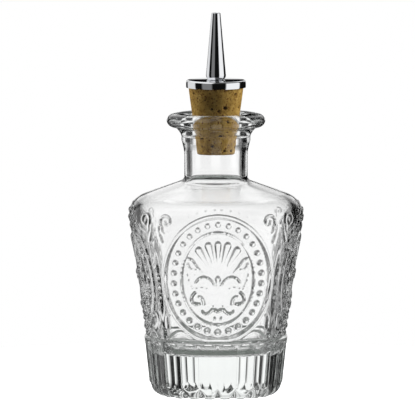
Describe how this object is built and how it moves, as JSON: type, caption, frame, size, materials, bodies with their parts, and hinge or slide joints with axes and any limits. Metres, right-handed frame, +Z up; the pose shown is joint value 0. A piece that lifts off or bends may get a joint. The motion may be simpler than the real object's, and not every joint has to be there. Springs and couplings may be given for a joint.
{
  "type": "bitters bottle",
  "caption": "Square-shouldered clear glass bottle with a fluted base and beaded oval medallions, closed by a tapered cork with a chromed dasher spout.",
  "frame": {"origin": "centre of the base, on the surface the bottle stands on", "axes": "+Z up along the bottle's axis of symmetry, through the neck, cork and spout; -Y towards the face that looks at the viewer"},
  "size_m": [0.0622, 0.0622, 0.1355],
  "materials": {
    "clear_glass": "polished pressed glass",
    "cork": "natural cork with dark pores",
    "chrome": "mirror chrome plate"
  },
  "bodies": {
    "bottle": {"glass_bottle": "clear_glass"},
    "stopper": {"cork": "cork"},
    "dasher": {"dasher_cap": "chrome", "dasher_spout": "chrome", "dasher_stem": "chrome"}
  },
  "joints": [
    {"name": "stopper_lift", "type": "slide", "parent": "bottle", "child": "stopper", "axis": [0, 0, 1], "range_m": [0, 0.035]},
    {"name": "dasher_twist", "type": "hinge", "parent": "stopper", "child": "dasher", "pos_m": [0, 0, 0.1109], "axis": [0, 0, 1], "continuous": true}
  ]
}
